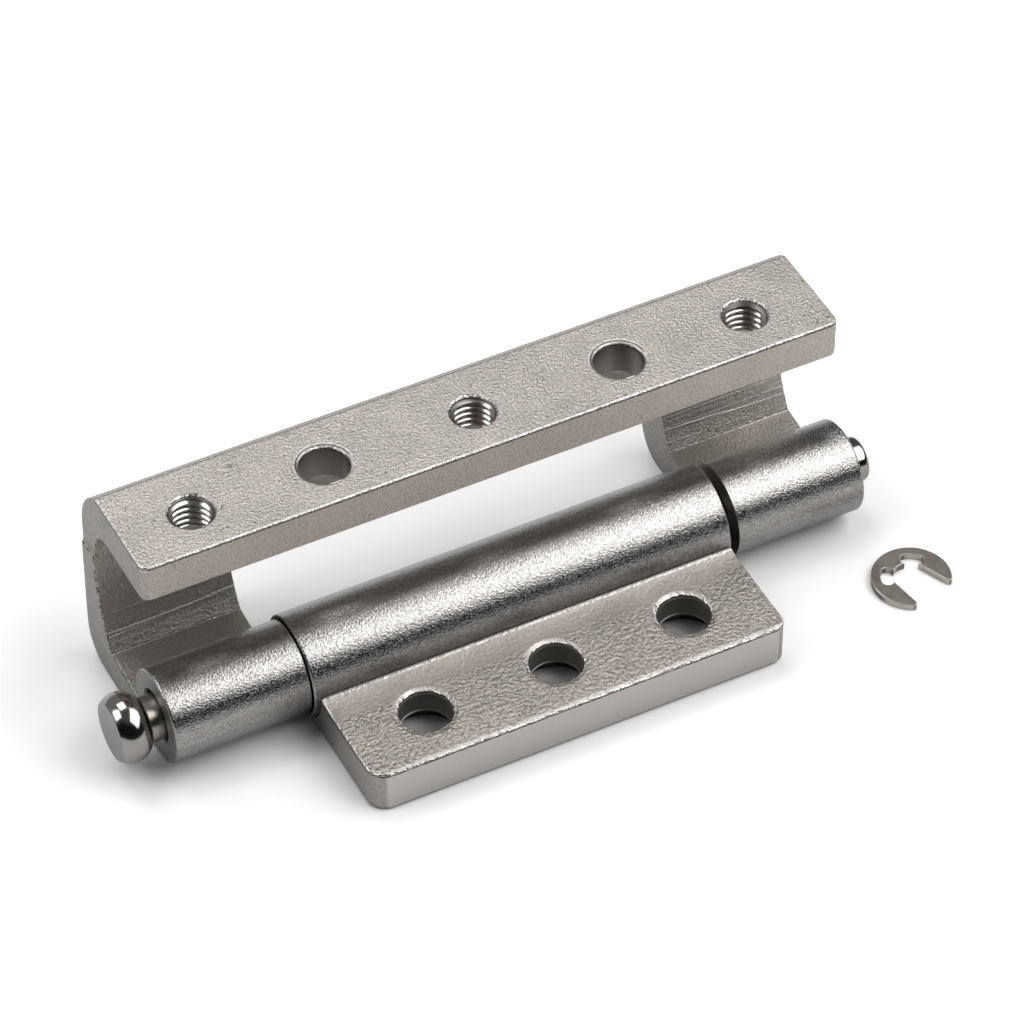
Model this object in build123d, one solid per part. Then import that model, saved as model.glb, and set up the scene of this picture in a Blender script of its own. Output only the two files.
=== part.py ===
from build123d import *
import os
from math import sqrt

# Lift off hinge: a C-section frame leaf with two knuckles, a door leaf with one long barrel,
# the headed pin that joins them, and the retaining clip that lies beside them.
# Millimetres. X runs along the pin from its head to its grooved end, Y from the door leaf to
# the frame leaf, Z up out of the door leaf's seat. The origin is on that seat, straight below
# the pin's axis and midway between the frame leaf's knuckles.

# Pin axis, knuckles of the frame leaf and barrel of the door leaf
axis_height = 7.15
knuckle_diameter = 12.9
knuckle_length = 19.0
barrel_diameter = 14.0
barrel_length = 61.0
barrel_rim_radius = 0.3
barrel_left_gap = 0.2
barrel_right_gap = 1.5

# Frame leaf
plate_length = 100.5
plate_shift = 0.25
plate_thickness = 5.8
plate_top = 31.05
plate_front = 2.5
plate_corner_radius = 1.3
plate_lower_edge_radius = 0.25
wall_outer = 21.9
wall_thickness = 3.7
wall_inner_radius = 4.7
crown_radius = 9.2
crown_front = 16.7
wall_straight = 0.95
strip_lap = 1.9
arm_setback = 0.55
crease_from_axis = 14.1
crease_height = 5.3
web_slope = 0.12
foot_radius = 5.0
foot_front = 4.0
cast_edge_radius = 0.35

# Holes in the plate of the frame leaf
plate_hole_from_axis = 9.3
tapped_hole_spacing = 40.0
tapped_hole_diameter = 6.0
tapped_hole_chamfer = 0.3
plain_hole_spacing = 21.3
plain_hole_diameter = 6.5
plain_hole_rim = 0.75

# Door leaf
leaf_thickness = 6.6
leaf_front_from_axis = 22.5
leaf_left_setback = 0.85
leaf_left_corner_radius = 2.8
leaf_right_corner_radius = 2.0
leaf_lower_edge_radius = 0.7
leaf_ramp_length = 3.5
leaf_ramp_height = 0.55
leaf_hole_from_axis = 14.6
leaf_hole_spacing = 18.85
leaf_hole_diameter = 7.0
leaf_hole_rim = 0.3
recess_diameter = 11.0
recess_depth = 3.0

# Pin, drawn out of its seat by pin_draw
pin_diameter = 6.25
pin_clearance = 0.05
mouth_diameter = 7.6
mouth_depth = 1.6
pin_draw = 2.2
head_diameter = 9.6
head_face_diameter = 8.0
head_side_radius = 2.86
groove_diameter = 5.0
groove_side_clearance = 0.1
pin_tip_length = 3.9
pin_tip_radius = 0.7

# Retaining clip, lying flat beside the door leaf
clip_diameter = 10.8
clip_thickness = 1.0
clip_mouth_width = 6.1
clip_tip_radius = 0.45
clip_pocket_reach = 4.1
clip_pocket_width = 1.7
clip_pocket_angle = 133.0
clip_pocket_arc_angle = 27.0
clip_edge_radius = 0.12
clip_x = 51.5
clip_y = -17.4
clip_turn = -73.5

# Worked out from the values above
knuckle_gap = barrel_left_gap + barrel_length + barrel_right_gap
knuckle_inner_end = knuckle_gap / 2
knuckle_outer_end = knuckle_inner_end + knuckle_length
barrel_radius = barrel_diameter / 2
barrel_start = -knuckle_inner_end + barrel_left_gap
barrel_end = barrel_start + barrel_length
bore_radius = pin_diameter / 2 + pin_clearance
wall_inner = wall_outer - wall_thickness
plate_bottom = plate_top - plate_thickness
arm_top = plate_bottom - wall_inner_radius - wall_straight
strip_bottom = arm_top - strip_lap
leaf_start = barrel_start + leaf_left_setback
leaf_middle = (leaf_start + barrel_end) / 2
pin_axis = Axis((0, 0, axis_height), (1, 0, 0))


def along_pin(face, start, end):
    """Extrude a face drawn in Y and Z from one place along the pin to another."""
    return extrude(Plane.YZ.offset(start) * face, end - start)


def turned_about_pin(radius, start, end):
    """A plain cylinder on the pin's axis."""
    return along_pin(Pos(0, axis_height) * Circle(radius), start, end)


def round_corners(face, *corners):
    """Round corners of a flat outline, each given as its place and radius."""
    for place, radius in corners:
        face = fillet(face.vertices().sort_by_distance(place)[0], radius)
    return face


def round_front_edges(plate, lower_radius, upper_radius):
    """Round both front edges of a plate; each rounding runs on round the corners and up the ends."""
    for pick, radius in ((0, lower_radius), (-1, upper_radius)):
        front_edges = plate.edges().filter_by(Axis.X).group_by(Axis.Y)[0].sort_by(Axis.Z)
        plate = fillet(front_edges[pick], radius)
    return plate


def drilled(radius, top, bottom):
    """The cutter of a straight hole along Z."""
    return Pos(0, 0, (top + bottom) / 2) * Cylinder(radius, top - bottom)


def flared(radius, rim, top):
    """The cutter of a rounded rim round the upper mouth of a hole along Z."""
    ring = Pos(0, 0, -rim) * Torus(radius + rim, rim)
    return Pos(0, 0, top) * (Pos(0, 0, -rim / 2) * Cylinder(radius + rim, rim) - ring)


def chamfered(radius, width, mouth, inward):
    """The cutter of a 45 degree chamfer round a mouth, inward being 1 up the hole and -1 down it."""
    wide, narrow = (radius + width, radius) if inward > 0 else (radius, radius + width)
    return Pos(0, 0, mouth + inward * width / 2) * Cone(wide, narrow, width)


def frame_section():
    """The C-section across the frame leaf, from the knuckle round to the plate's front edge."""
    crown_middle = wall_outer - crown_radius
    crown_foot = plate_top - sqrt(crown_radius**2 - (crown_front - crown_middle) ** 2)
    crown = TangentArc((wall_outer, crown_foot), (crown_front, plate_top), tangent=(0, 1))
    outside = Polyline(
        (crease_from_axis, crease_height),
        (0, crease_height - web_slope * crease_from_axis),
        (0, axis_height - knuckle_diameter / 2),
        (foot_front, 0),
        (wall_outer, 0),
        (wall_outer, crown_foot),
    )
    inside = Polyline(
        (crown_front, plate_top),
        (plate_front, plate_top),
        (plate_front, plate_bottom),
        (wall_inner, plate_bottom),
        (wall_inner, arm_top),
    )
    inner_bow = TangentArc((wall_inner, arm_top), (crease_from_axis, crease_height), tangent=(0, -1))
    return round_corners(
        make_face(outside + crown + inside + inner_bow),
        ((wall_outer, 0), foot_radius),
        ((wall_inner, plate_bottom), wall_inner_radius),
    )


def above(height):
    """A face in Y and Z that covers the section from a height upwards."""
    return Pos(0, height + plate_top / 2) * Rectangle(4 * wall_outer, plate_top)


def frame_leaf():
    """Plate and upper wall over the full length, on two arms that end in knuckles."""
    section = frame_section()
    start = plate_shift - plate_length / 2
    strip = along_pin(section & above(strip_bottom), start, start + plate_length)
    strip = fillet(strip.edges().filter_by(Axis.Z).group_by(Axis.Y)[0], plate_corner_radius)
    strip = round_front_edges(strip, plate_lower_edge_radius, cast_edge_radius)
    arm = along_pin(section - above(arm_top), knuckle_inner_end + arm_setback, knuckle_outer_end)
    side = arm + turned_about_pin(knuckle_diameter / 2, knuckle_inner_end, knuckle_outer_end)
    side = fillet(side.faces().sort_by(Axis.X)[-1].edges(), cast_edge_radius)
    leaf = strip + side + mirror(side, Plane.YZ)
    return leaf - pin_bores() - plate_holes()


def pin_bores():
    """The bore through both knuckles, with a tapered mouth at each outer end."""
    mouth_middle = Plane.YZ.offset(knuckle_outer_end - mouth_depth / 2) * Pos(0, axis_height)
    mouth = mouth_middle * Cone(bore_radius, mouth_diameter / 2, mouth_depth)
    bore = turned_about_pin(bore_radius, -knuckle_outer_end, knuckle_outer_end)
    return bore + mouth + mirror(mouth, Plane.YZ)


def plate_holes():
    """Three tapped holes, plain at their thread's outer diameter, and two holes with a round rim."""
    radius = tapped_hole_diameter / 2
    tapped = drilled(radius, plate_top, plate_bottom)
    tapped += chamfered(radius, tapped_hole_chamfer, plate_top, -1)
    tapped += chamfered(radius, tapped_hole_chamfer, plate_bottom, 1)
    plain_radius = plain_hole_diameter / 2
    plain = drilled(plain_radius, plate_top, plate_bottom)
    plain += flared(plain_radius, plain_hole_rim, plate_top)
    plain += chamfered(plain_radius, plain_hole_rim, plate_bottom, 1)
    tapped_places = [Pos(tapped_hole_spacing * n, plate_hole_from_axis) for n in (-1, 0, 1)]
    plain_places = [Pos(plain_hole_spacing * n, plate_hole_from_axis) for n in (-1, 1)]
    return [place * tapped for place in tapped_places] + [place * plain for place in plain_places]


def door_leaf():
    """A flat leaf with three holes, rising on a shallow ramp to the barrel it is cast on."""
    ramp_foot = -barrel_radius - leaf_ramp_length
    ramp_top = leaf_thickness + leaf_ramp_height
    ramp = TangentArc((ramp_foot, leaf_thickness), (-barrel_radius, ramp_top), tangent=(1, 0))
    outline = Polyline(
        (-barrel_radius, ramp_top),
        (0, ramp_top),
        (0, 0),
        (-leaf_front_from_axis, 0),
        (-leaf_front_from_axis, leaf_thickness),
        (ramp_foot, leaf_thickness),
    )
    plate = along_pin(make_face(ramp + outline), leaf_start, barrel_end)
    for pick, radius in ((0, leaf_left_corner_radius), (-1, leaf_right_corner_radius)):
        front_corners = plate.edges().filter_by(Axis.Z).group_by(Axis.Y)[0].sort_by(Axis.X)
        plate = fillet(front_corners[pick], radius)
    plate = round_front_edges(plate, leaf_lower_edge_radius, cast_edge_radius)
    barrel = turned_about_pin(barrel_radius, barrel_start, barrel_end)
    barrel = fillet(barrel.edges().filter_by(GeomType.CIRCLE), barrel_rim_radius)
    bore = turned_about_pin(bore_radius, barrel_start, barrel_end)
    radius = leaf_hole_diameter / 2
    hole = drilled(radius, leaf_thickness, 0) + flared(radius, leaf_hole_rim, leaf_thickness)
    hole += drilled(recess_diameter / 2, recess_depth, 0)
    places = [Pos(leaf_middle + leaf_hole_spacing * n, -leaf_hole_from_axis) for n in (-1, 0, 1)]
    return plate + barrel - bore - [place * hole for place in places]


def hinge_pin():
    """A turned pin: a ball head cut flat at its end, a plain shank and a groove for the clip."""
    radius = pin_diameter / 2
    ball_middle = head_diameter / 2 - head_side_radius

    def head_side(at_radius):
        """Half the width of the head's rounded side at a distance from the axis."""
        return sqrt(head_side_radius**2 - (at_radius - ball_middle) ** 2)

    seat = -knuckle_outer_end - pin_draw
    head_middle = seat - head_side(mouth_diameter / 2)
    face_x = head_middle - head_side(head_face_diameter / 2)
    neck_x = head_middle + head_side(radius)
    groove_x = knuckle_outer_end - pin_draw + groove_side_clearance
    groove_end = groove_x + clip_thickness + groove_side_clearance
    tip_x = groove_end + pin_tip_length
    head = ThreePointArc(
        (face_x, head_face_diameter / 2),
        (head_middle, head_diameter / 2),
        (neck_x, radius),
    )
    shank = Polyline(
        (neck_x, radius),
        (groove_x, radius),
        (groove_x, groove_diameter / 2),
        (groove_end, groove_diameter / 2),
        (groove_end, radius),
        (tip_x, radius),
        (tip_x, 0),
        (face_x, 0),
        (face_x, head_face_diameter / 2),
    )
    outline = round_corners(make_face(head + shank), ((tip_x, radius), pin_tip_radius))
    return revolve(Plane.XZ * Pos(0, axis_height) * outline, pin_axis)


def retaining_clip():
    """A stamped ring, open on one side, that grips its groove with three inner lugs."""
    grip_radius = groove_diameter / 2
    pocket_radius = clip_pocket_reach - clip_pocket_width / 2
    half_mouth = clip_mouth_width / 2
    rim_x = sqrt((clip_diameter / 2) ** 2 - half_mouth**2)
    ring = Circle(clip_diameter / 2) - Circle(grip_radius)
    ring -= make_face(
        Polyline(
            (0, -grip_radius),
            (2 * rim_x, grip_radius - clip_mouth_width),
            (2 * rim_x, clip_mouth_width - grip_radius),
            (0, grip_radius),
            (0, -grip_radius),
        )
    )
    for side in (-1, 1):
        start = side * (clip_pocket_angle - clip_pocket_arc_angle / 2)
        path = CenterArc((0, 0), pocket_radius, start, side * clip_pocket_arc_angle)
        ring -= SlotArc(path, clip_pocket_width)
    ring = round_corners(ring, ((rim_x, half_mouth), clip_tip_radius), ((rim_x, -half_mouth), clip_tip_radius))
    clip = extrude(ring, clip_thickness)
    top_edges = clip.faces().sort_by(Axis.Z)[-1].edges()
    clip = fillet(top_edges, clip_edge_radius)
    return Pos(clip_x, clip_y) * Rot(0, 0, clip_turn) * clip


pieces = {
    "frame_leaf": frame_leaf(),
    "door_leaf": door_leaf(),
    "hinge_pin": hinge_pin(),
    "retaining_clip": retaining_clip(),
}
os.makedirs("parts", exist_ok=True)
for name, piece in pieces.items():
    export_step(piece, f"parts/{name}.step")
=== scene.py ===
import math
import bpy
import numpy as np
from mathutils import Matrix, Vector


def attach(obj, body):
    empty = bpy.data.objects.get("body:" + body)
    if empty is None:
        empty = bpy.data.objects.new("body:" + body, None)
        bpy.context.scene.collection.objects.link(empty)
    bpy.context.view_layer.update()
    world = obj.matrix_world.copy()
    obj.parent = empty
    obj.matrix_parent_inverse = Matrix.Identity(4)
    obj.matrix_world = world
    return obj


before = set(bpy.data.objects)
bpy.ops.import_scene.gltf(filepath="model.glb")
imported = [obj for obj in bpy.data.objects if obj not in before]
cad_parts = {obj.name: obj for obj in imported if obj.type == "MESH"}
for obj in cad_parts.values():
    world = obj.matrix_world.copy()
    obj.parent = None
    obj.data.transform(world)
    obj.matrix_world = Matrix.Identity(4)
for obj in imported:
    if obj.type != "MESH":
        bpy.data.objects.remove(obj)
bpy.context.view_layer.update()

# A lift off hinge in satin nickel plate, lying on a white table under three soft boxes.
# X runs along the pin from its head, Y from the door leaf to the frame leaf, Z up. Meshes are in
# metres, and the dictionaries of the pieces and their materials are in millimetres.
mm = 0.001
pinAxisHeight = 7.15
print("frame loaded:", ", ".join(sorted(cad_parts)))


# Shader sums: a Wire holds one output socket of a node tree, and sums on it add Math nodes.
class Wire:
    def __init__(self, tree, socket=None):
        self.tree = tree
        self.socket = socket

    # Adds any node, its settings first and then its inputs, and gives back the output asked for.
    def node(self, kind, settings={}, inputs={}, output=0):
        made = self.tree.nodes.new("ShaderNode" + kind)
        for name, value in settings.items():
            setattr(made, name, value)
        for name, value in inputs.items():
            if isinstance(value, Wire):
                self.tree.links.new(value.socket, made.inputs[name])
            else:
                made.inputs[name].default_value = value
        return Wire(self.tree, made.outputs[output] if made.outputs else None)

    def sum(self, operation, *parts):
        return self.node("Math", {"operation": operation}, dict(enumerate(parts)))

    def __add__(self, other):
        return self.sum("ADD", self, other)

    def __radd__(self, other):
        return self.sum("ADD", other, self)

    def __sub__(self, other):
        return self.sum("SUBTRACT", self, other)

    def __rsub__(self, other):
        return self.sum("SUBTRACT", other, self)

    def __mul__(self, other):
        return self.sum("MULTIPLY", self, other)

    def __rmul__(self, other):
        return self.sum("MULTIPLY", other, self)

    def __pow__(self, other):
        return self.sum("POWER", self, other)

    def __neg__(self):
        return self.sum("MULTIPLY", self, -1.0)

    def __abs__(self):
        return self.sum("ABSOLUTE", self)

    # 0 at or below one value, 1 at or above the other, with a soft step between them
    def step(self, low, high):
        return self.node("MapRange", {"interpolation_type": "SMOOTHSTEP"},
                         {"Value": self, "From Min": low, "From Max": high})

    # 1 between two values and 0 outside them, with soft borders
    def band(self, low, high, blend):
        return self.step(low - blend, low + blend) * (1 - self.step(high - blend, high + blend))

    # the three numbers of a vector
    def parts(self):
        return [self.node("SeparateXYZ", {}, {"Vector": self}, axis) for axis in range(3)]

    # a vector stretched along each axis
    def stretched(self, x, y, z):
        return self.node("VectorMath", {"operation": "MULTIPLY"}, {0: self, 1: (x, y, z)})

    # this mask goes from the first colour to the second
    def mixColour(self, first, second):
        return self.node("Mix", {"data_type": "RGBA"}, {0: self, 6: first, 7: second}, 2)

    # cloudy noise about 0, mostly within half a unit, with lumps of a size in mm
    def noise(self, lump, detail=2.0, roughness=0.5, seed=0.0):
        shift = (seed / mm, 0.7 * seed / mm, -seed / mm)
        moved = self.node("VectorMath", {"operation": "ADD"}, {0: self, 1: shift})
        return moved.node("TexNoise", {}, {"Vector": moved, "Scale": 1 / lump,
                                           "Detail": detail, "Roughness": roughness}) - 0.5

    # 1 on most of a grain and 0 on the rest, so that a line times it is broken
    def broken(self, contrast, share):
        return (self * contrast + share).step(0.0, 1.0)

    # this height in mm as a bump in the surface
    def relief(self):
        return self.node("Bump", {}, {"Height": self, "Distance": mm, "Strength": 1.0})


# Lays each colour over those before it where its mask is 1.
def layered(colour, layers):
    for mask, over in layers:
        colour = mask.mixColour(colour, over)
    return colour


# a grey that leans to yellow
def grey(level, warmth=0.0):
    return (level, level * (1 - 0.5 * warmth), level * (1 - warmth), 1.0)


# A metal material: build(place, facing) gives the shader's varying inputs, from the piece's own
# coordinates in mm and its normal.
def makeMetal(name, build):
    material = bpy.data.materials.new(name)
    material.use_nodes = True
    material.node_tree.nodes.clear()
    start = Wire(material.node_tree)
    place = start.node("TexCoord", output="Object").stretched(1 / mm, 1 / mm, 1 / mm)
    facing = start.node("TexCoord", output="Normal")
    shader = start.node("BsdfPrincipled", {}, {"Metallic": 1.0, **build(place, facing)})
    start.node("OutputMaterial", {}, {"Surface": shader})
    print("material:", name)
    return material


# the distance from the pin's axis
def fromPin(place):
    y, z = place.parts()[1:]
    return (y * y + (z - pinAxisHeight) ** 2) ** 0.5


# the distance from the nearest axis in a row of upright holes along X
def fromHoles(place, middles, fromAxis):
    x, y = place.parts()[:2]
    nearest = None
    for middle in middles:
        away = ((x - middle) ** 2 + (y - fromAxis) ** 2) ** 0.5
        nearest = away if nearest is None else away.sum("MINIMUM", away, nearest)
    return nearest


# A part of the normal is 1 where a surface faces along that axis. These steps on it find the
# flats that are square to an axis, the flats on top, and every flat as against the rounds.
normals = {"square": (0.90, 0.98), "top": (0.90, 0.95), "flat": (0.90, 0.985)}


# 1 where a flat is square to the axis of this part of the normal
def squareTo(part):
    return part.step(*normals["square"])


# 1 where a surface turns from one flat to another, so on every rounded edge
def onEdges(facing):
    nx, ny, nz = [abs(part) for part in facing.parts()]
    return 1 - nx.sum("MAXIMUM", nx.sum("MAXIMUM", nx, ny), nz).step(*normals["flat"])


# What both castings share: a fine speckle, wide patches, a slow wave, and a hard hammered grain
# on the rounds about the pin. A tone is where the colour stands between plain and worn where the
# grain is at its mean, and a speckle or patching is how far the grain moves it.
castGrain = {
    "fineLump": 0.34, "patchLump": 6.0,
    "waveLump": 5.0, "waveDepth": 0.010,
    "hammerLump": 0.25, "hammerDepth": 0.068,
    "hammerColour": grey(0.28, 0.11), "hammerWorn": grey(0.50, 0.05),
    "hammerTone": 0.5, "hammerSpeckle": 2.6,
    # edgeColour is painted highlight on the top edges, the crease, the holes' far rings, the root and the
    # lip, and is also the colour of the real drag lines; darkColour is painted shade and painted dark
    # reflection lines, and is also the colour of the real pits and seam
    "edgeColour": grey(0.80, 0.08), "darkColour": grey(0.05, 0.15),
    "roughFlat": 0.45, "roughEdge": 0.25, "roughPatch": 0.08,
}


def castGrains(place):
    k = castGrain
    fine = place.noise(k["fineLump"], 2.0, 0.6, seed=1.2)
    patches = place.noise(k["patchLump"], 4.0, 0.6, seed=0.9)
    wave = place.noise(k["waveLump"], 1.0, seed=0.6) * k["waveDepth"]
    hammer = place.noise(k["hammerLump"], 2.0, 0.6, seed=0.3) * k["hammerDepth"]
    hammered = (fine * k["hammerSpeckle"] + k["hammerTone"]).mixColour(k["hammerColour"], k["hammerWorn"])
    return fine, patches, wave, hammer, hammered


# The frame leaf's casting: a fine rough grain with a few pits, lines dragged along the low inner
# wall, hammered knuckles, smoother ends, holes painted dark as shade, and broken edges with
# painted highlights and painted dark reflection lines. The front faces and the upper inner wall
# are painted lighter as lit, and the web, the ends, the bore's mouth and the gap beside the
# barrel are painted darker as shade. A pair named From is where a mask begins and is full, a
# pair named To is where it starts to fade and is gone, and a triple is a band's two borders and
# their softness. A cover is how far a colour hides those below it, a calm is how much of the
# grain is gone, and breaks are a broken line's contrast and share.
frameCasting = {
    "colour": grey(0.39, 0.14), "colourWorn": grey(0.73, 0.14),
    "tone": 0.45, "speckle": 2.2, "patching": 0.8,
    # frontColour and innerColour are painted light, lighter on the front faces and the upper inner wall;
    # webColour, endColour and holeColour are painted shade on the web, the ends, the holes and the gap beside
    # the barrel
    "frontColour": grey(0.76, 0.18), "innerColour": grey(0.76, 0.14), "webColour": grey(0.30, 0.14),
    "endColour": grey(0.33, 0.07), "holeColour": grey(0.36, 0.16),
    "peelLump": 0.36, "peelDepth": 0.250,
    "dragLump": 0.8, "dragDepth": 0.05, "dragStretch": 0.012, "dragLine": (0.006, 0.036),
    "pitLump": 0.9, "pitDepth": 0.10, "pitFrom": (0.22, 0.30),
    "roughKnuckle": 0.13,
    "frontCover": 0.4, "frontSpeckle": 1.2, "innerCover": 0.6, "webCover": 0.8,
    "endCover": 0.70, "endPatching": 0.8, "endSpeckle": 1.2,
    "creaseCover": 0.8, "dragCover": 0.45, "brightRingCover": 0.7,
    "seamCover": 0.6, "pitCover": 0.35, "darkRingCover": 0.8,
    "endCalm": 0.5, "edgeCalm": 0.3, "wallCalm": 0.7, "frontCalm": 0.2, "webCalm": 0.5, "innerCalm": 0.4,
    "topBreaks": (2.5, 0.85), "rimLoss": 0.35, "underBreaks": (4.0, 0.75), "armBreaks": (4.0, 0.4),
    "innerFacing": (0.1, 0.5), "armFacing": (0.15, 0.30),             # steps on the normal
    "knuckleTo": (6.6, 6.95), "boreTo": (3.55, 3.75),                 # from the pin's axis
    "plainHoles": (-21.3, 21.3), "holesFromAxis": 9.3,                # along X and Y
    "wallTo": (3.27, 3.45), "rimTo": (4.3, 4.4),                      # from a hole's axis
    "darkRing": (3.58, 3.80, 0.05), "innerRing": (3.32, 3.50, 0.04), "outerRing": (3.86, 4.04, 0.04),
    "gapTo": (31.8, 32.2),                                            # along X
    "seamFrom": (5.0, 5.5),                                           # along -Y
    "frontTo": (3.0, 4.0), "innerFrom": (6.5, 9.0), "ringFrom": (8.5, 10.0),
    "webDeep": (6.5, 14.0, 0.2), "creaseDeep": (14.00, 14.28, 0.06),  # along Y
    "topFrom": (30.0, 30.2), "topEdgeFrom": (30.2, 30.5), "underEdge": (30.60, 30.84, 0.04),
    "armTo": (23.5, 24.5), "seam": (6.50, 6.60, 0.03), "dragged": (6.5, 12.0, 0.8),
    "webHigh": (3.5, 6.5, 0.3), "creaseHigh": (4.5, 6.5, 0.2),        # along Z
    "innerLightFrom": (6.0, 14.0), "innerCalmTo": (8.0, 14.0),
}


def frameFinish(place, facing):
    k = frameCasting
    g = castGrain
    x, y, z = place.parts()
    nx, ny, nz = facing.parts()
    away = fromPin(place)
    fromHole = fromHoles(place, k["plainHoles"], k["holesFromAxis"])
    fine, patches, wave, hammer, hammered = castGrains(place)
    # where each part of the casting is
    knuckle = 1 - away.step(*k["knuckleTo"])
    # the bore's mouth on the knuckle and the knuckles' end faces beside the barrel are painted dark as shade
    mouth = knuckle * (1 - away.step(*k["boreTo"]))
    ends = squareTo(abs(nx))
    gap = ends * knuckle * (1 - abs(x).step(*k["gapTo"]))
    front = squareTo(-ny) * (1 - y.step(*k["frontTo"])) * (1 - knuckle)
    inner = (-ny).step(*k["innerFacing"]) * y.step(*k["innerFrom"])
    web = y.band(*k["webDeep"]) * z.band(*k["webHigh"]) * (1 - ends)
    # the crease is given a painted highlight
    crease = y.band(*k["creaseDeep"]) * z.band(*k["creaseHigh"]) * (1 - ends)
    # the plain holes: walls painted dark as shade, the chamfers' rims, and on the far side of each two
    # rings of painted highlight and one of painted shade
    walls = 1 - fromHole.step(*k["wallTo"])
    rim = (1 - fromHole.step(*k["rimTo"])) * (1 - walls)
    farSide = y.step(*k["ringFrom"]) * z.step(*k["topFrom"])
    darkRing = fromHole.band(*k["darkRing"]) * farSide
    brightRings = (fromHole.band(*k["innerRing"]) + fromHole.band(*k["outerRing"])) * farSide
    # the edges: a painted highlight on the plate's rounds, with a painted dark reflection line below,
    # and painted dark reflections on the arms' rounds
    rounded = onEdges(facing) * (1 - knuckle)
    topEdge = rounded * z.step(*k["topEdgeFrom"]) * fine.broken(*k["topBreaks"]) * (1 - rim * k["rimLoss"])
    underEdge = z.band(*k["underEdge"]) * (1 - nz.step(*normals["top"])) * (1 - walls) * (1 - rim)
    armEdge = rounded * abs(nx).step(*k["armFacing"]) * (1 - z.step(*k["armTo"]))
    seam = z.band(*k["seam"]) * knuckle * (-y).step(*k["seamFrom"])
    dark = underEdge * fine.broken(*k["underBreaks"]) \
        + (armEdge + seam * k["seamCover"]) * fine.broken(*k["armBreaks"])
    pits = place.noise(k["pitLump"], 1.0, seed=1.7).step(*k["pitFrom"]) * (1 - knuckle) * (1 - walls)
    # thin lines along X, where a noise that hardly changes along X goes through 0
    contour = abs(place.stretched(k["dragStretch"], 0, 1).noise(k["dragLump"], 0.0))
    drag = (1 - contour.step(*k["dragLine"])) * inner * z.band(*k["dragged"])
    innerLow = inner * (1 - z.step(*k["innerCalmTo"]))
    grain = 1 - ends * k["endCalm"]
    for mask, calm in ((rounded, "edgeCalm"), (walls, "wallCalm"), (front, "frontCalm"),
                       (web, "webCalm"), (innerLow, "innerCalm")):
        grain = grain * (1 - mask * k[calm])
    peel = place.noise(k["peelLump"], 2.0, 0.6) * k["peelDepth"]
    height = (peel * (1 - knuckle) + hammer * knuckle) * grain + wave
    height = height + drag * k["dragDepth"] - pits * k["pitDepth"]
    # bright is painted highlight on the top edge, the crease and the far rings, and the colour of the real
    # drag lines; dark adds the real pits and painted shade in the bore's mouth and the far ring
    bright = topEdge + crease * k["creaseCover"] + drag * k["dragCover"] + brightRings * k["brightRingCover"]
    dark = dark + pits * k["pitCover"] + mouth + darkRing * k["darkRingCover"]
    endCover = k["endCover"] + patches * k["endPatching"] - fine * k["endSpeckle"]
    tone = patches * k["patching"] + fine * k["speckle"] + k["tone"]
    # The front faces and the upper inner wall are painted lighter as lit, the web and ends darker as shade,
    # the knuckles take the hammered grain, the edges, crease and far rings get painted highlights, the holes
    # and the gap are painted dark as shade, and the dark lines are painted shade and dark reflections along
    # with the real pits and seam.
    colour = layered(tone.mixColour(k["colour"], k["colourWorn"]), (
        (front * (fine * k["frontSpeckle"] + k["frontCover"]), k["frontColour"]),
        (inner * z.step(*k["innerLightFrom"]) * k["innerCover"], k["innerColour"]),
        (web * k["webCover"], k["webColour"]),
        (knuckle, hammered),
        (ends * endCover, k["endColour"]),
        (bright, g["edgeColour"]),
        (walls + gap, k["holeColour"]),
        (dark, g["darkColour"]),
    ))
    rough = g["roughFlat"] + (k["roughKnuckle"] - g["roughFlat"]) * knuckle * (1 - ends)
    rough = rough + patches * g["roughPatch"]
    rough = rough + (g["roughEdge"] - rough) * (topEdge + crease)
    return {"Base Color": colour, "Roughness": rough, "Normal": height.relief()}


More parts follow.
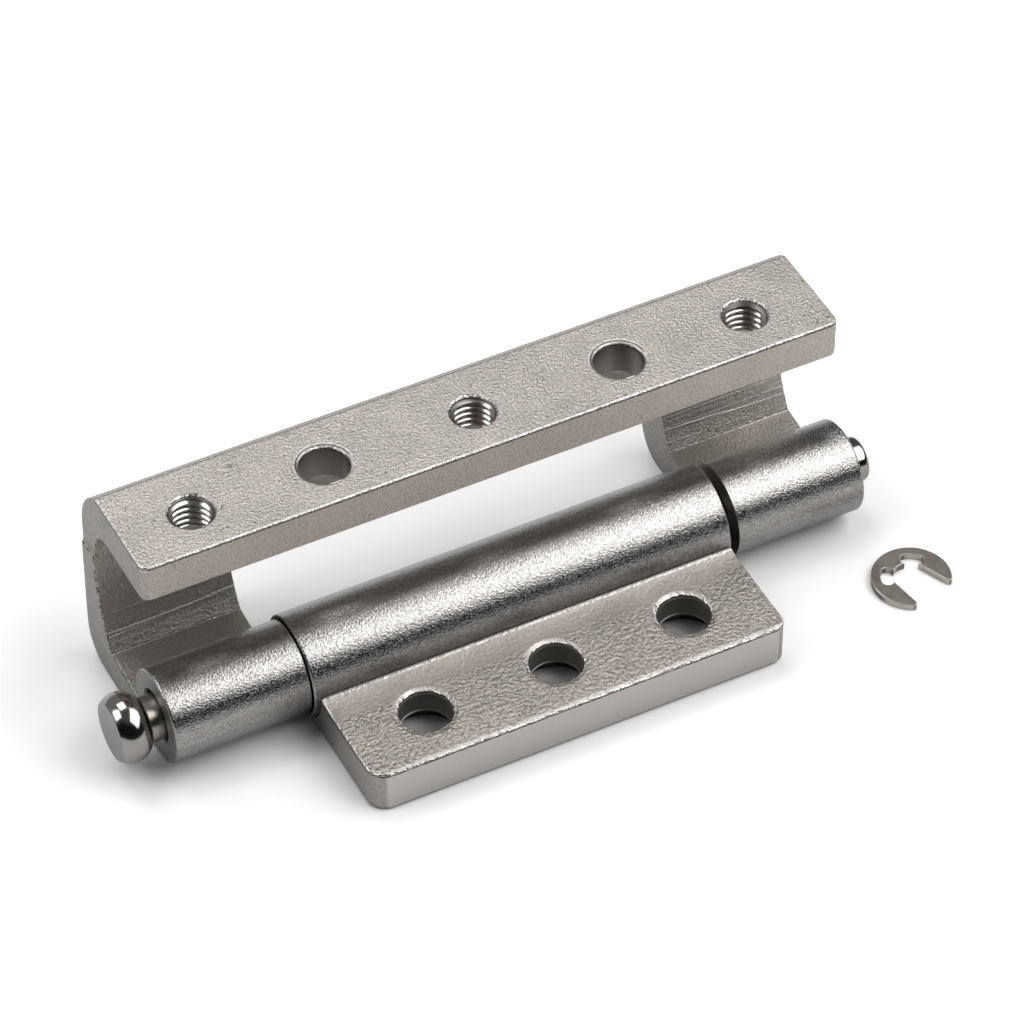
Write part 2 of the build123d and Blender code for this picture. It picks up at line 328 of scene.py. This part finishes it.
# The door leaf's casting: a pebbled flat that turns smooth beside the barrel, wide rough rims
# round its holes with a painted highlight, a rolled front edge with a painted highlight and a
# painted dark reflection line below it, and a hammered barrel. Its front and ends are painted
# lighter as lit, its holes, recesses and the barrel's ends are painted dark as shade, and the
# root has a painted highlight with a painted shadow line above it on the barrel. The names'
# endings are as above.
leafCasting = {
    "colour": grey(0.25, 0.14), "colourWorn": grey(0.64, 0.15),
    "tone": 0.40, "speckle": 0.8, "patching": 0.6, "pebbleTone": 0.10, "pebbleSpeckle": 1.8,
    # frontColour and endColour are painted light on the front and end faces, rimColour is painted highlight
    # on the hole rims and the rolled front, and holeColour is painted shade in the holes, the recesses and on
    # the barrel's ends
    "frontColour": grey(0.68, 0.09), "endColour": grey(0.46, 0.10), "rimColour": grey(0.80, 0.10),
    "holeColour": grey(0.22, 0.14),
    "pebbleLump": 0.55, "pebbleDepth": 0.44, "smoothDepth": 0.25,     # the smooth parts keep this share
    "fineDepth": 0.03, "rimFall": 0.34, "rollFall": 0.20, "lipRise": 0.25,
    "roughBarrel": 0.12, "roughWall": 0.25, "rimShine": 0.6,
    "frontCover": 0.85, "endCover": 0.85, "endPatching": 0.8, "rimCover": 0.9, "rollCover": 0.9,
    "lineCover": 0.9, "lineSpeckle": 1.5, "rootShadowCover": 0.45,
    "frontCalm": 0.5, "wallCalm": 0.5,
    "edgeBreaks": (2.0, 0.90), "rootBreaks": (4.0, 0.8),
    "pebbledFacing": (0.6, 0.95), "flatFacing": (0.5, 0.9), "lipFacing": (-0.5, 0.5),    # steps on the normal
    "barrelTo": (7.05, 7.40),                                         # from the pin's axis
    "holes": (-19.075, -0.225, 18.625), "holesFromAxis": -14.6,       # along X and Y
    "wallTo": (3.55, 3.70), "rimTo": (3.50, 4.45), "recessOutTo": (5.6, 5.8),
    "lineFrom": (4.2, 4.4),                                           # from a hole's axis
    "rootShadowFrom": (6.5, 6.8),                                          # along -Y
    "pebbledTo": (-12.0, -10.0), "rollTo": (-22.4, -21.6), "root": (-7.45, -7.10, 0.06),    # along Y
    "upperFrom": (6.10, 6.25), "underLine": (6.14, 6.38, 0.04), "rootShadowTo": (7.3, 7.5),
    "lip": (3.0, 3.3, 0.08), "lipTo": (2.95, 3.40), "recessUpTo": (3.1, 3.2),    # along Z
}


def leafFinish(place, facing):
    k = leafCasting
    g = castGrain
    y, z = place.parts()[1:]
    nx, ny, nz = facing.parts()
    away = fromPin(place)
    fromHole = fromHoles(place, k["holes"], k["holesFromAxis"])
    fine, patches, wave, hammer, hammered = castGrains(place)
    broken = fine.broken(*k["edgeBreaks"])
    # where each part of the casting is
    barrel = 1 - away.step(*k["barrelTo"])
    ends = squareTo(abs(nx))
    upper = z.step(*k["upperFrom"]) * (1 - barrel)
    front = squareTo(-ny) * (1 - barrel)
    pebbled = (1 - y.step(*k["pebbledTo"])) * abs(nz).step(*k["pebbledFacing"])
    # the holes: walls painted dark as shade with a painted highlight on the lip at the recess, the
    # recess itself painted dark as shade, and the sunk rim on top with a painted highlight
    walls = (1 - fromHole.step(*k["wallTo"])) * (1 - abs(nz).step(*k["flatFacing"]))
    lip = walls * z.band(*k["lip"]) * nx.step(*k["lipFacing"])
    recess = (1 - fromHole.step(*k["recessOutTo"])) * (1 - z.step(*k["recessUpTo"])) * (1 - walls)
    rim = (1 - fromHole.step(*k["rimTo"])) * upper
    # the edges: the rolled front with a painted highlight, the painted dark reflection line below it,
    # and the root's painted highlight with a painted shadow line above it on the barrel
    rounded = onEdges(facing) * (1 - barrel) * (1 - walls)
    roll = (1 - y.step(*k["rollTo"])) * upper
    underLine = z.band(*k["underLine"]) * (1 - nz.step(*normals["top"])) * (1 - barrel) * (1 - walls) \
        * fromHole.step(*k["lineFrom"])
    root = y.band(*k["root"]) * upper * fine.broken(*k["rootBreaks"])
    # a painted shadow line on the barrel just above the root
    rootShadow = barrel * (1 - ends) * (1 - z.step(*k["rootShadowTo"])) * (-y).step(*k["rootShadowFrom"])
    lines = underLine + rootShadow * k["rootShadowCover"]
    lump = place.noise(k["pebbleLump"], 2.0, 0.6)
    pebbles = lump * k["pebbleDepth"] * (pebbled * (1 - k["smoothDepth"]) + k["smoothDepth"])
    height = (pebbles + fine * k["fineDepth"]) * (1 - barrel) \
        * (1 - front * k["frontCalm"]) * (1 - walls * k["wallCalm"])
    height = height + hammer * barrel * (1 - ends) + wave - rim * k["rimFall"] - roll * k["rollFall"]
    height = height + walls * (1 - z.step(*k["lipTo"])) * k["lipRise"]
    tone = patches * k["patching"] + fine * k["speckle"] + lump * pebbled * k["pebbleSpeckle"] \
        + k["tone"] + pebbled * k["pebbleTone"]
    # The barrel takes the hammered grain, the front and ends are painted lighter as lit, the hole rims and
    # the rolled front get a painted highlight, the holes, recesses and barrel ends are painted dark as shade,
    # the rounds, root and lip get painted highlights, and the lines are painted dark reflection and shadow.
    colour = layered(tone.mixColour(k["colour"], k["colourWorn"]), (
        (barrel, hammered),
        (front * k["frontCover"], k["frontColour"]),
        (ends * (k["endCover"] + patches * k["endPatching"]), k["endColour"]),
        (rim * broken * k["rimCover"] + roll * (fine + k["rollCover"]), k["rimColour"]),
        (walls + ends * barrel + recess, k["holeColour"]),
        ((rounded * upper + root + lip) * broken, g["edgeColour"]),
        (lines * (fine * k["lineSpeckle"] + k["lineCover"]), g["darkColour"]),
    ))
    rough = g["roughFlat"] + (k["roughBarrel"] - g["roughFlat"]) * barrel
    rough = rough + patches * g["roughPatch"] + walls * k["roughWall"]
    rough = rough + (g["roughEdge"] - rough) * (rounded + root + rim * k["rimShine"])
    return {"Base Color": colour, "Roughness": rough, "Normal": height.relief()}


# The pin: polished steel with faint rings from the lathe, a duller cut end and shank.
pinSteel = {
    "colour": grey(0.44, 0.10), "colourWorn": grey(0.36, 0.12), "endColour": grey(0.38, 0.08),
    "shankColour": grey(0.36, 0.16), "tone": 0.5, "smudging": 1.5,
    "ringLump": 0.12, "ringDepth": 0.0006, "ringStretch": 0.02, "shankRings": 4.0,
    "dentLump": 1.2, "dentDepth": 0.006, "smudgeLump": 2.5,
    "roughBall": 0.13, "roughEnd": 0.22, "roughShank": 0.25, "roughSmudge": 0.08,
    "shank": (-52.6, 50.4, 0.2),                     # along X
    "endFacing": (0.93, 0.99),                       # a step on the normal
}


def pinFinish(place, facing):
    k = pinSteel
    cutEnd = abs(facing.parts()[0]).step(*k["endFacing"])
    shank = place.parts()[0].band(*k["shank"])
    rings = place.stretched(1, k["ringStretch"], k["ringStretch"]).noise(k["ringLump"], 2.0) * k["ringDepth"]
    dents = place.noise(k["dentLump"], 3.0) * k["dentDepth"]
    smudge = place.noise(k["smudgeLump"], 4.0, 0.6, seed=0.4)
    colour = (smudge * k["smudging"] + k["tone"]).mixColour(k["colour"], k["colourWorn"])
    rough = k["roughBall"] + (k["roughShank"] - k["roughBall"]) * shank
    return {
        "Base Color": layered(colour, ((shank, k["shankColour"]), (cutEnd, k["endColour"]))),
        "Roughness": rough + (k["roughEnd"] - rough) * cutEnd + smudge * k["roughSmudge"],
        "Normal": (rings * (1 + shank * k["shankRings"]) + dents).relief(),
    }


# The retaining clip: dull dark spring steel, paler where its edges are worn.
clipSteel = {
    "colour": grey(0.20, 0.20), "colourWorn": grey(0.38, 0.16), "edgeColour": grey(0.60, 0.14),
    "tone": 0.3, "patching": 0.9, "scratching": 0.8,
    "grainLump": 0.18, "grainDepth": 0.010, "scratchLump": 0.30, "scratchStretch": 0.3,
    "patchLump": 2.5, "rough": 0.42, "roughScratch": 0.25,
}


def clipFinish(place, facing):
    k = clipSteel
    scratch = place.stretched(k["scratchStretch"], 1, 1).noise(k["scratchLump"], 3.0, 0.6)
    patches = place.noise(k["patchLump"], 3.0, 0.6, seed=0.5)
    tone = patches * k["patching"] + scratch * k["scratching"] + k["tone"]
    colour = tone.mixColour(k["colour"], k["colourWorn"])
    return {
        "Base Color": onEdges(facing).mixColour(colour, k["edgeColour"]),
        "Roughness": k["rough"] + scratch * k["roughScratch"],
        "Normal": (place.noise(k["grainLump"], 2.0) * k["grainDepth"]).relief(),
    }


# The cut threads: bright flanks, upright crests and roots painted darker as shade, marks from the
# tap, and a rough mouth painted dark as shade.
threadMetal = {
    # uprightColour and mouthColour are painted shade
    "colour": grey(0.56, 0.10), "uprightColour": grey(0.24, 0.16), "mouthColour": grey(0.22, 0.14),
    "uprightCover": 0.7, "chattering": 0.3,
    "chatterLump": 0.25, "chatterDepth": 0.006, "chatterTall": 0.5, "mouthDepth": 0.03,
    "rough": 0.17, "roughMouth": 0.42, "roughChatter": 0.15,
    "mouthFrom": (30.1, 30.4),                       # along Z, where the cone of the mouth starts
    "flankFacing": (0.15, 0.45),                     # a step on the normal
}


def threadFinish(place, facing):
    k = threadMetal
    chatter = place.stretched(1, 1, k["chatterTall"]).noise(k["chatterLump"], 3.0)
    mouth = place.parts()[2].step(*k["mouthFrom"])
    upright = 1 - abs(facing.parts()[2]).step(*k["flankFacing"])
    tone = upright * k["uprightCover"] + chatter * k["chattering"]
    colour = tone.mixColour(k["colour"], k["uprightColour"])
    return {
        "Base Color": mouth.mixColour(colour, k["mouthColour"]),
        "Roughness": k["rough"] + (k["roughMouth"] - k["rough"]) * mouth + chatter * k["roughChatter"],
        "Normal": (chatter * (k["chatterDepth"] + mouth * k["mouthDepth"])).relief(),
    }


finishes = {
    "frame_leaf": makeMetal("frameCasting", frameFinish),
    "door_leaf": makeMetal("leafCasting", leafFinish),
    "hinge_pin": makeMetal("pinSteel", pinFinish),
    "retaining_clip": makeMetal("clipSteel", clipFinish),
}
for nodeName, finish in finishes.items():
    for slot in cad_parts[nodeName].material_slots:
        slot.material = finish

# The turns of the three tapped holes, which are plain in the solids.
threads = {
    "middles": (-40.0, 0.0, 40.0), "fromAxis": 9.3,  # along X and Y
    "top": 31.05, "bottom": 25.25,
    "mouth": 0.3,                                    # the depth of the solid's own chamfer
    "pitch": 1.0, "crestRadius": 2.5, "rootRadius": 2.99, "backRadius": 3.06,
    "crestFlat": 0.25, "rootFlat": 0.125,            # in pitches
    "lead": 0.8,                                     # where the cone reaches the crests
    "around": 120, "perPitch": 20,
    "starts": (0.10, 0.35, 0.60),                    # the part of a turn at which each helix starts
}


# A tapped hole's wall as a surface of angle and height, r(angle, height): the distance in
# pitches from the nearest root of the helix, height / pitch - angle / turn, is held between
# the root's and the crest's flat and set on a straight flank, and a cone at each end cuts
# the crests away. The sheet closes behind, inside the wall.
def threadShell(k, middle, start):
    low = k["bottom"] + k["mouth"]
    high = k["top"] - k["mouth"]
    levels = np.linspace(low, high, int((high - low) / k["pitch"] * k["perPitch"]) + 1)
    angles = np.arange(k["around"]) / k["around"]
    height, turn = np.meshgrid(levels, angles, indexing="ij")
    phase = height / k["pitch"] - turn - start
    fromRoot = np.abs(phase - np.round(phase))
    flank = 0.5 - k["crestFlat"] / 2 - k["rootFlat"] / 2
    rise = np.clip((fromRoot - k["rootFlat"] / 2) / flank, 0, 1)
    radius = k["rootRadius"] - (k["rootRadius"] - k["crestRadius"]) * rise
    toEnd = np.minimum(k["top"] - height, height - k["bottom"])
    cone = k["crestRadius"] + k["lead"] - toEnd
    radius = np.minimum(np.maximum(radius, cone), k["rootRadius"])
    back = np.full((2, k["around"]), k["backRadius"])
    radius = np.vstack([radius, back])
    height = np.vstack([height, np.full((1, k["around"]), high), np.full((1, k["around"]), low)])
    turn = np.vstack([turn, turn[:2]])
    return np.stack([middle + radius * np.cos(2 * math.pi * turn),
                     k["fromAxis"] + radius * np.sin(2 * math.pi * turn), height], axis=-1) * mm


# Puts grids of points that close on themselves both ways into one mesh: each face joins a point
# to the next one along its row, and to the same two in the row below.
def meshOfRings(name, grids):
    points = []
    faces = []
    offset = 0
    for grid in grids:
        rows, columns = grid.shape[:2]
        index = offset + np.arange(rows * columns).reshape(rows, columns)
        below = np.roll(index, -1, axis=0)
        corners = (index, below, np.roll(below, -1, axis=1), np.roll(index, -1, axis=1))
        faces.append(np.stack(corners, axis=-1).reshape(-1, 4))
        points.append(grid.reshape(-1, 3))
        offset += rows * columns
    mesh = bpy.data.meshes.new(name)
    mesh.from_pydata(np.vstack(points).tolist(), [], np.vstack(faces).tolist())
    mesh.polygons.foreach_set("use_smooth", np.ones(len(mesh.polygons), dtype=bool))
    mesh.update()
    piece = bpy.data.objects.new(name, mesh)
    bpy.context.scene.collection.objects.link(piece)
    return piece


shells = [threadShell(threads, *hole) for hole in zip(threads["middles"], threads["starts"])]
threadTurns = meshOfRings("thread_turns", shells)
threadTurns.data.materials.append(makeMetal("threadMetal", threadFinish))
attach(threadTurns, "frame")
print("threads: %d faces" % len(threadTurns.data.polygons))

# The studio: a white table, three soft boxes and a room that is dark before the object. The
# table and the boxes are in metres, and a pair is where a change in the room's light starts
# and is full, as a part of a direction of length 1.
studio = {
    "tableSize": 6.0, "tableColour": 0.72,
    "tableShown": 1.14, "tableMirrored": 0.74,       # its colour for the camera and for reflections
    "roomLeft": 0.27, "roomRight": 0.125, "roomAbove": 0.12, "roomBefore": 0.012,
    "sideLean": 0.2, "side": (-0.10, 0.05), "above": (0.5, 0.9),
    "before": (-0.20, 0.30), "beforeTop": (0.70, 0.95),
    "horizon": 0.72, "horizonTop": 2.0, "horizonSoft": 0.15,    # degrees, and part of them
    "boxDistance": 0.9,
    # azimuth from +Y towards +X, elevation, width and height in degrees, radiance
    "boxes": ((120, 53, 56, 43, 2.95), (-3, 59, 36, 32, 3.3), (-74, 47, 27, 28, 3.1)),
}


# The table is paler to the rays that show it, so that it is white and keeps its shadows.
def makeTable():
    k = studio
    half = k["tableSize"] / 2
    corners = [(-half, -half, 0), (half, -half, 0), (half, half, 0), (-half, half, 0)]
    mesh = bpy.data.meshes.new("table")
    mesh.from_pydata(corners, [], [(0, 1, 2, 3)])
    table = bpy.data.objects.new("table", mesh)
    bpy.context.scene.collection.objects.link(table)
    material = bpy.data.materials.new("whiteTable")
    material.use_nodes = True
    material.node_tree.nodes.clear()
    start = Wire(material.node_tree)
    camera, glossy, through = [start.node("LightPath", output="Is %s Ray" % kind)
                               for kind in ("Camera", "Glossy", "Transmission")]
    mirrored = (glossy + through).mixColour(grey(k["tableColour"]), grey(k["tableMirrored"]))
    paint = start.node("BsdfDiffuse", {}, {"Color": camera.mixColour(mirrored, grey(k["tableShown"]))})
    start.node("OutputMaterial", {}, {"Surface": paint})
    mesh.materials.append(material)


# The room's light by direction: pale to the horizon, dark before the object, grey behind, and
# white to the camera.
def makeRoom():
    k = studio
    world = bpy.data.worlds.new("studioRoom")
    world.use_nodes = True
    world.node_tree.nodes.clear()
    start = Wire(world.node_tree)
    x, y, z = start.node("TexCoord", output="Generated").parts()
    before = (-y).step(*k["before"]) * (1 - z.step(*k["beforeTop"]))
    side = (k["sideLean"] * y - x).step(*k["side"])
    room = k["roomRight"] + (k["roomLeft"] - k["roomRight"]) * side
    room = room + (k["roomAbove"] - room) * z.step(*k["above"])
    room = room * (1 - before) + before * k["roomBefore"]
    edge = math.sin(math.radians(k["horizonTop"]))
    low = 1 - z.step(edge * (1 - k["horizonSoft"]), edge * (1 + k["horizonSoft"]))
    light = room * (1 - low) + low * k["horizon"]
    camera = start.node("LightPath", output="Is Camera Ray")
    light = light * (1 - camera) + camera
    back = start.node("Background", {}, {"Color": grey(1.0), "Strength": light})
    start.node("OutputWorld", {}, {"Surface": back})
    bpy.context.scene.world = world


# Soft boxes on a dome about the object, each facing it.
def makeBoxes():
    k = studio
    far = k["boxDistance"]
    for number, (azimuth, elevation, wide, tall, radiance) in enumerate(k["boxes"]):
        a, e = math.radians(azimuth), math.radians(elevation)
        way = Vector((math.sin(a) * math.cos(e), math.cos(a) * math.cos(e), math.sin(e)))
        data = bpy.data.lights.new("softBox%d" % number, "AREA")
        data.shape = "RECTANGLE"
        data.size = 2 * far * math.tan(math.radians(wide / 2))
        data.size_y = 2 * far * math.tan(math.radians(tall / 2))
        data.energy = radiance * math.pi * data.size * data.size_y
        lamp = bpy.data.objects.new(data.name, data)
        turn = way.to_track_quat("Z", "Y").to_matrix().to_4x4()
        lamp.matrix_world = Matrix.Translation(way * far) @ turn
        lamp.visible_camera = False
        bpy.context.scene.collection.objects.link(lamp)


makeTable()
makeRoom()
makeBoxes()
print("studio set")

# The camera, as directions and a place in metres, worked out from the photograph's vanishing
# directions.
view = {
    "right": (0.88933870, -0.45724863, -0.00060346),
    "up": (0.32266601, 0.62664221, 0.70937028),
    "back": (-0.32398044, -0.63106516, 0.70483576),
    "place": (-0.23057381, -0.45080420, 0.52411443),
    "near": 0.02, "far": 50.0,
    "lens": 194.35, "sensor": 36.0,                  # mm
}


def makeCamera():
    k = view
    data = bpy.data.cameras.new("camera")
    data.lens = k["lens"]
    data.sensor_width = k["sensor"]
    data.clip_start = k["near"]
    data.clip_end = k["far"]
    camera = bpy.data.objects.new("camera", data)
    turn = Matrix((k["right"], k["up"], k["back"])).transposed().to_4x4()
    camera.matrix_world = Matrix.Translation(k["place"]) @ turn
    bpy.context.scene.collection.objects.link(camera)
    bpy.context.scene.camera = camera


makeCamera()
bpy.context.scene.view_settings.view_transform = "Standard"
